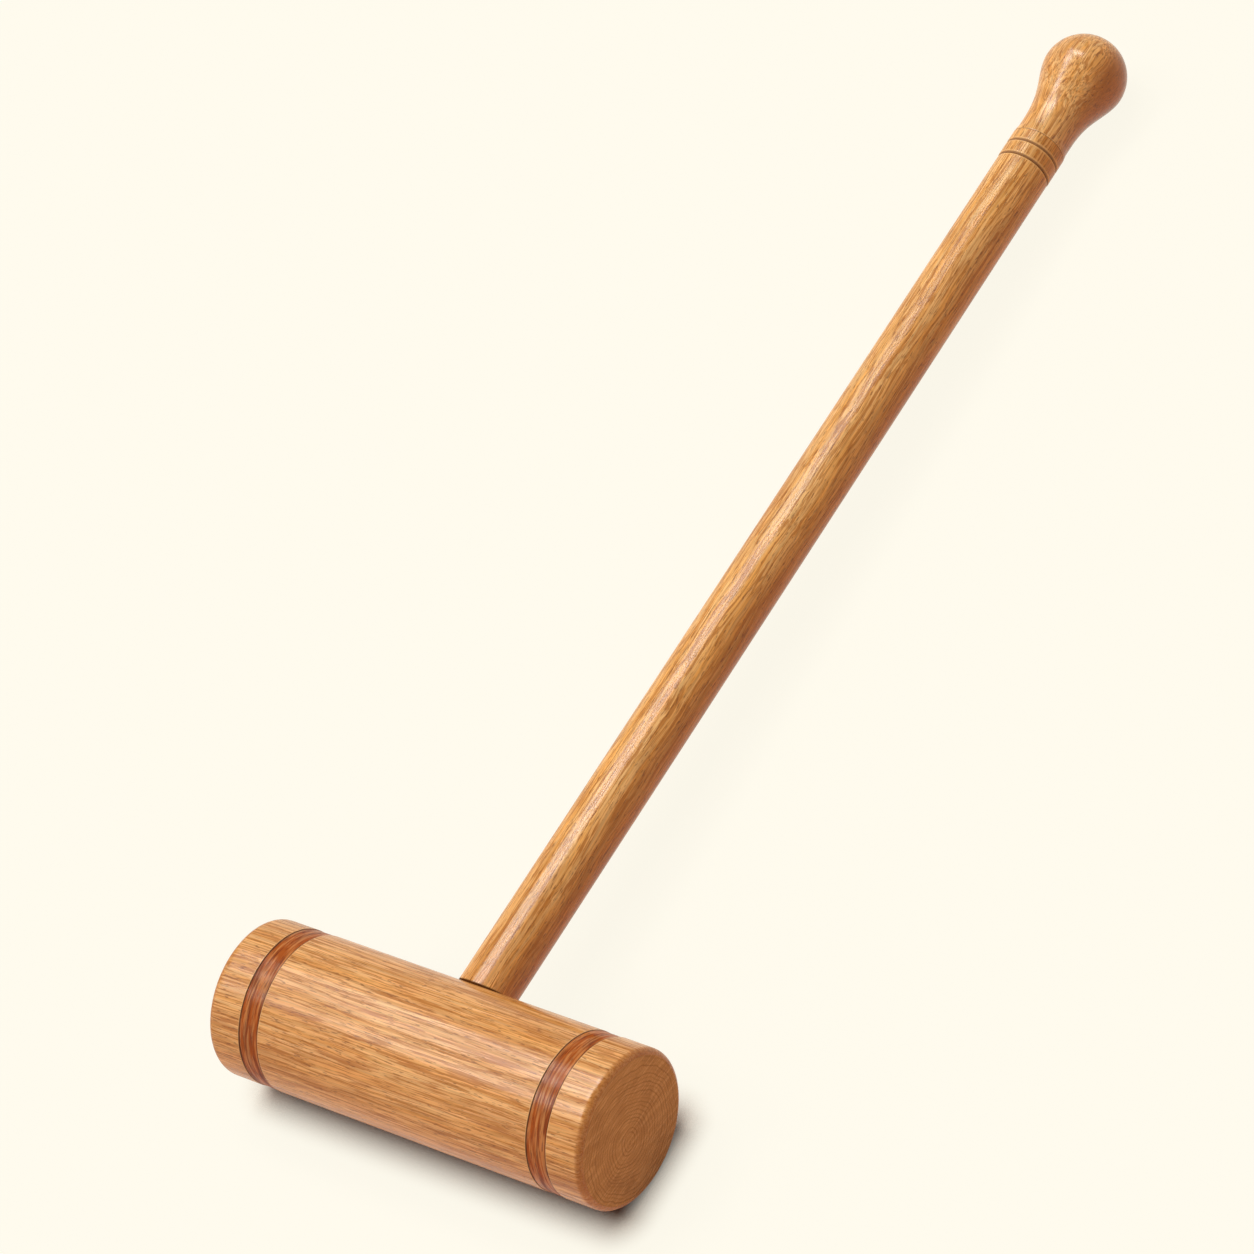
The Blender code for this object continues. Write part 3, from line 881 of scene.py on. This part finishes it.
def cut_kerf(piece):
    """Cut the kerf into the shaft's foot: a slot right through that narrows evenly upwards.

    At a height h its width is the base width less the slope times h. The cutter
    reaches past the foot and the sides.
    """
    heights = np.repeat([-KERF_PAST, KERF_DEPTH], 4)
    across = np.tile([-1, 1, 1, -1], 2) * (KERF_BASE - KERF_SLOPE * heights) / 2
    along = np.tile([-1, -1, 1, 1], 2) * SHAFT_RADIUS * KERF_REACH
    corners = to_world(np.stack([across, along, SHAFT_FOOT + heights], axis=1))
    mesh = bpy.data.meshes.new("kerf")
    mesh.from_pydata(corners.tolist(), [], [(3, 2, 1, 0), (4, 5, 6, 7), (0, 1, 5, 4),
                                            (1, 2, 6, 5), (2, 3, 7, 6), (3, 0, 4, 7)])
    cutter = linked("kerf", mesh)
    modifier = piece.modifiers.new("kerf", "BOOLEAN")
    modifier.operation = "DIFFERENCE"
    modifier.solver = "EXACT"
    modifier.object = cutter
    seen = piece.evaluated_get(bpy.context.evaluated_depsgraph_get())
    cut = bpy.data.meshes.new_from_object(seen)
    piece.modifiers.clear()
    piece.data = cut
    cut.shade_smooth()
    cut.set_sharp_from_angle(angle=SHARP_ANGLE)
    bpy.data.objects.remove(cutter)


class MALLET_OT_shaft(bpy.types.Operator):
    """Make the handle's shaft, with the kerf that the wedge spreads"""

    bl_idname = "mallet.shaft"
    bl_label = "Shaft"

    def execute(self, context):
        sizes = context.scene.mallet_sizes
        floor = SHAFT_TOP - DOWEL_FLOOR
        outline = fillet([
            (0.0, floor, 0), (DOWEL_BORE, floor, BORE_FLOOR_ROUND), (DOWEL_BORE, SHAFT_TOP, BORE_ROUND),
            (SHAFT_RADIUS - sizes.groove_depth, SHAFT_TOP, 0),
            (SHAFT_RADIUS, SHAFT_TOP - sizes.groove_width, sizes.groove_lip),
            (SHAFT_RADIUS, SHAFT_FOOT, FOOT_ROUND), (0.0, SHAFT_FOOT, 0),
        ])
        vertices, faces = turned(refined(outline, SHAFT_ROW), HANDLE_STEPS, "handle")
        piece = add_mesh("shaft", to_world(vertices), faces, "handle_shaft")
        cut_kerf(piece)
        joints = (HANDLE, HEAD_CENTRE, (SHAFT_TOP,), GROOVE_SHADE, GROOVE_TONE)
        piece.data.materials.append(oak(
            "lacquered_oak_shaft", "handle", grain=HANDLE + Vector((0.01, 0, 0.01)), figure=HANDLE_FIGURE,
            centre=HEAD_CENTRE, heart=30, ring=SHAFT_RING, waves=SHAFT_WAVES, film=HANDLE_FILM,
            shaded_side=(-7.0, 6.0, 0.7), joints=joints, mouth=True))
        return {"FINISHED"}


class MALLET_OT_collars(bpy.types.Operator):
    """Make the two turned collars under the knob"""

    bl_idname = "mallet.collars"
    bl_label = "Collars"

    def execute(self, context):
        sizes = context.scene.mallet_sizes
        slit, hair = sizes.groove_slit / 2, sizes.hairline / 2
        width, depth, lip = sizes.groove_width, sizes.groove_depth, sizes.groove_lip
        joints = (HANDLE, HEAD_CENTRE, (SHAFT_TOP, LOWER_COLLAR_TOP), GROOVE_SHADE, GROOVE_TONE)
        material = oak(
            "lacquered_oak_collar", "handle", grain=HANDLE, figure=HANDLE_FIGURE, centre=HEAD_CENTRE,
            heart=30, ring=COLLAR_RING, waves=COLLAR_WAVES, film=HANDLE_FILM,
            shaded_side=(-7.0, 6.0, 0.6), joints=joints)
        # The top edge is half a groove on the lower collar, and sharp under the knob on the upper one
        lower = (SHAFT_TOP + slit, LOWER_COLLAR_TOP - slit)
        upper = (LOWER_COLLAR_TOP + slit, KNOB_SEAT - hair)
        grooved = [(COLLAR_RADIUS - depth, lower[1], 0), (COLLAR_RADIUS, lower[1] - width, lip)]
        plain = [(COLLAR_RADIUS, upper[1], RING_ROUND)]
        rings = (("lower_collar", lower, grooved), ("upper_collar", upper, plain))
        for name, (low, high), top_edge in rings:
            outline = closed(fillet([
                (DOWEL_BORE, high, 0), *top_edge, (COLLAR_RADIUS, low + width, lip),
                (COLLAR_RADIUS - depth, low, 0), (DOWEL_BORE, low, 0),
            ]))
            vertices, faces = turned(outline, HANDLE_STEPS, "handle")
            piece = add_mesh(name + "_ring", to_world(vertices), faces, name)
            piece.data.materials.append(material)
        return {"FINISHED"}


class MALLET_OT_knob(bpy.types.Operator):
    """Make the pear-shaped knob"""

    bl_idname = "mallet.knob"
    bl_label = "Knob"

    def execute(self, context):
        sizes = context.scene.mallet_sizes
        seat = KNOB_SEAT + sizes.hairline / 2
        # The ball's outline, from its pole down to its middle, is the radius R cos t at the height
        # c + R sin t. The knob and its foot narrow to the neck by the swell's curve.
        tip = np.radians(np.linspace(90, 0, BALL_ROWS))
        ball = np.stack([KNOB_RADIUS * np.cos(tip), KNOB_CENTRE + KNOB_RADIUS * np.sin(tip)], axis=1)
        neck = (NECK_RADIUS, KNOB_SEAT + NECK_HEIGHT)
        flare = swell((KNOB_RADIUS, KNOB_CENTRE), neck, FLARE_ROWS, NECK_SLENDERNESS)[1:]
        foot = swell(neck, (COLLAR_RADIUS, seat + RING_ROUND), FOOT_ROWS)[1:]
        floor = KNOB_SEAT + KNOB_BORE_DEPTH
        cut = RING_ROUND * ROUND_MIDDLE
        end = np.array([(COLLAR_RADIUS - cut, seat + cut), (COLLAR_RADIUS - RING_ROUND, seat),
                        (DOWEL_BORE, seat), (DOWEL_BORE, floor), (0.0, floor)])
        vertices, faces = turned(np.vstack([ball, flare, foot, end]), HANDLE_STEPS, "handle")
        piece = add_mesh("knob", to_world(vertices), faces, "grip_knob")
        joints = (HANDLE, HEAD_CENTRE, (KNOB_SEAT,), HAIRLINE_SHADE, GROOVE_TONE)
        piece.data.materials.append(oak(
            "lacquered_oak_knob", "handle", grain=HANDLE, figure=HANDLE_FIGURE,
            centre=HEAD_CENTRE + HANDLE * KNOB_CENTRE, heart=16, ring=SHAFT_RING, waves=KNOB_WAVES,
            film=KNOB_FILM, shaded_side=(-10.0, 5.0, 1.0), joints=joints))
        return {"FINISHED"}


class MALLET_OT_hidden_pins(bpy.types.Operator):
    """Finish the dowel and the wedge, which the other pieces hide"""

    bl_idname = "mallet.hidden_pins"
    bl_label = "Dowel and wedge"

    def execute(self, context):
        material = beech("sawn_beech")
        for node in ("knob_dowel", "fox_wedge"):
            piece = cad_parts[node]
            piece.data.materials.clear()
            piece.data.materials.append(material)
        return {"FINISHED"}


class MALLET_OT_stage(bpy.types.Operator):
    """Set the camera, the soft light and the pale floor"""

    bl_idname = "mallet.stage"
    bl_label = "Camera, light and floor"

    def execute(self, context):
        stage = context.scene.mallet_stage
        paper = tones("paper")[0]
        bearing, rise, roll = stage.azimuth, stage.elevation, stage.roll
        flat = math.cos(rise)
        back = Vector((math.sin(bearing) * flat, -math.cos(bearing) * flat, math.sin(rise)))
        level = back.cross(Vector((0, 0, -1))).normalized()
        upright = back.cross(level)
        right = level * math.cos(roll) + upright * math.sin(roll)
        up = back.cross(right)
        camera_data = bpy.data.cameras.new("camera")
        camera_data.lens = stage.lens
        camera_data.sensor_width = SENSOR_WIDTH
        camera_data.clip_end = FAR_CLIP
        camera = linked("camera", camera_data)
        turn = Matrix((right, up, back)).transposed()
        camera.matrix_world = Matrix.Translation(CAMERA_TARGET + back * stage.distance) @ turn.to_4x4()
        context.scene.camera = camera
        # A level, white floor is as bright as its colour in a light of pi from all lamps and the room
        lamps = [(name, share * getattr(stage, setting), size, towards)
                 for name, setting, share, size, towards in LAMPS]
        level_light = math.pi * (1 - stage.ambient)
        for name, strength, size, towards in lamps:
            level_light -= strength * Vector(towards).normalized().z
        name, size, towards = STRIP_REAR
        lamps.append((name, level_light / Vector(towards).normalized().z, size, towards))
        for name, strength, size, towards in lamps:
            lamp = bpy.data.lights.new(name, "SUN")
            lamp.energy = strength
            lamp.angle = math.radians(size)
            light = linked(name, lamp)
            light.rotation_mode = "QUATERNION"
            light.rotation_quaternion = (-Vector(towards)).to_track_quat("-Z", "Y")
        world = bpy.data.worlds.new("backdrop")
        context.scene.world = world
        world.use_nodes = True
        tree = world.node_tree
        tree.nodes.clear()
        room = add(tree, "Background", {"Color": ROOM_TONE, "Strength": stage.ambient})
        shown = add(tree, "Background", {"Color": paper, "Strength": 1.0})
        mix = add(tree, "MixShader", {0: shows_paper(tree), 1: room, 2: shown})
        add(tree, "OutputWorld", {"Surface": mix})
        mesh = bpy.data.meshes.new("floor")
        corners = np.array([(-1, -1, 0), (1, -1, 0), (1, 1, 0), (-1, 1, 0)]) * FLOOR_REACH
        mesh.from_pydata(corners.tolist(), [], [(0, 1, 2, 3)])
        floor = linked("floor", mesh)
        material, tree = new_material("matt_paper_sweep")
        # The shadow stays round the head and fades away from it, as on a lit sweep
        offset = add(tree, "VectorMath", {0: from_centre(tree, HEAD_CENTRE)}, operation="ABSOLUTE")
        offset = add(tree, "VectorMath", {0: offset, 1: SHADOW_BOX}, operation="SUBTRACT")
        offset = add(tree, "VectorMath", {0: offset}, operation="MAXIMUM")
        from_head = add(tree, "VectorMath", {0: offset}, operation="LENGTH")
        away = add(tree, "MapRange", {"Value": from_head, "From Max": SHADOW_FADE, "To Max": SHADOW_LOST},
                   interpolation_type="SMOOTHSTEP")
        # The light that the paper throws back on the wood is warmer than the paper looks
        bounce = add(tree, "BsdfDiffuse", {"Color": BOUNCE_TONE})
        # Close under the wood the paper's colour is painted darker by how little open sky it has: a
        # painted contact shadow, darkest there
        open_sky = add(tree, "AmbientOcclusion", {"Distance": CONTACT_REACH}, samples=CONTACT_RAYS)
        lit = add(tree, "MapRange", {
            "Value": open_sky.outputs["AO"], "From Min": CONTACT_DARK, "From Max": CONTACT_LIT})
        shaded = add(tree, "Mix", {0: lit, 6: CONTACT_TONE, 7: paper}, data_type="RGBA")
        sheet = add(tree, "BsdfDiffuse", {"Color": shaded})
        glow = add(tree, "Emission", {"Color": paper, "Strength": 1.0})
        shown = add(tree, "MixShader", {0: away, 1: sheet, 2: glow})
        shader = add(tree, "MixShader", {0: shows_paper(tree), 1: bounce, 2: shown})
        add(tree, "OutputMaterial", {"Surface": shader})
        mesh.materials.append(material)
        context.scene.view_settings.view_transform = "Standard"
        return {"FINISHED"}


class MALLET_PT_panel(bpy.types.Panel):
    """Buttons of the mallet's pieces, in the order in which they are made"""

    bl_idname = "MALLET_PT_panel"
    bl_label = "Lawn mallet"
    bl_space_type = "VIEW_3D"
    bl_region_type = "UI"
    bl_category = "Mallet"

    def draw(self, context):
        for operator in OPERATORS:
            self.layout.operator(operator.bl_idname)
        for group in ("mallet_sizes", "mallet_colours", "mallet_stage"):
            settings = getattr(context.scene, group)
            for name in settings.__annotations__:
                self.layout.prop(settings, name)


OPERATORS = (MALLET_OT_barrel, MALLET_OT_bands, MALLET_OT_end_blocks, MALLET_OT_shaft, MALLET_OT_collars,
             MALLET_OT_knob, MALLET_OT_hidden_pins, MALLET_OT_stage)
GROUPS = {"mallet_sizes": MalletSizes, "mallet_colours": MalletColours, "mallet_stage": MalletStage}


def register():
    """Register every class, and the settings on the scene."""
    for group in GROUPS.values():
        bpy.utils.register_class(group)
    for name, group in GROUPS.items():
        setattr(bpy.types.Scene, name, PointerProperty(type=group))
    for item in OPERATORS + (MALLET_PT_panel,):
        bpy.utils.register_class(item)


def unregister():
    """Take the classes and the settings away again."""
    for item in reversed(OPERATORS + (MALLET_PT_panel,)):
        bpy.utils.unregister_class(item)
    for name, group in GROUPS.items():
        delattr(bpy.types.Scene, name)
        bpy.utils.unregister_class(group)


def main():
    """Build the mallet and its stage."""
    register()
    for operator in OPERATORS:
        category, name = operator.bl_idname.split(".")
        getattr(getattr(bpy.ops, category), name)()


if __name__ == "__main__":
    main()
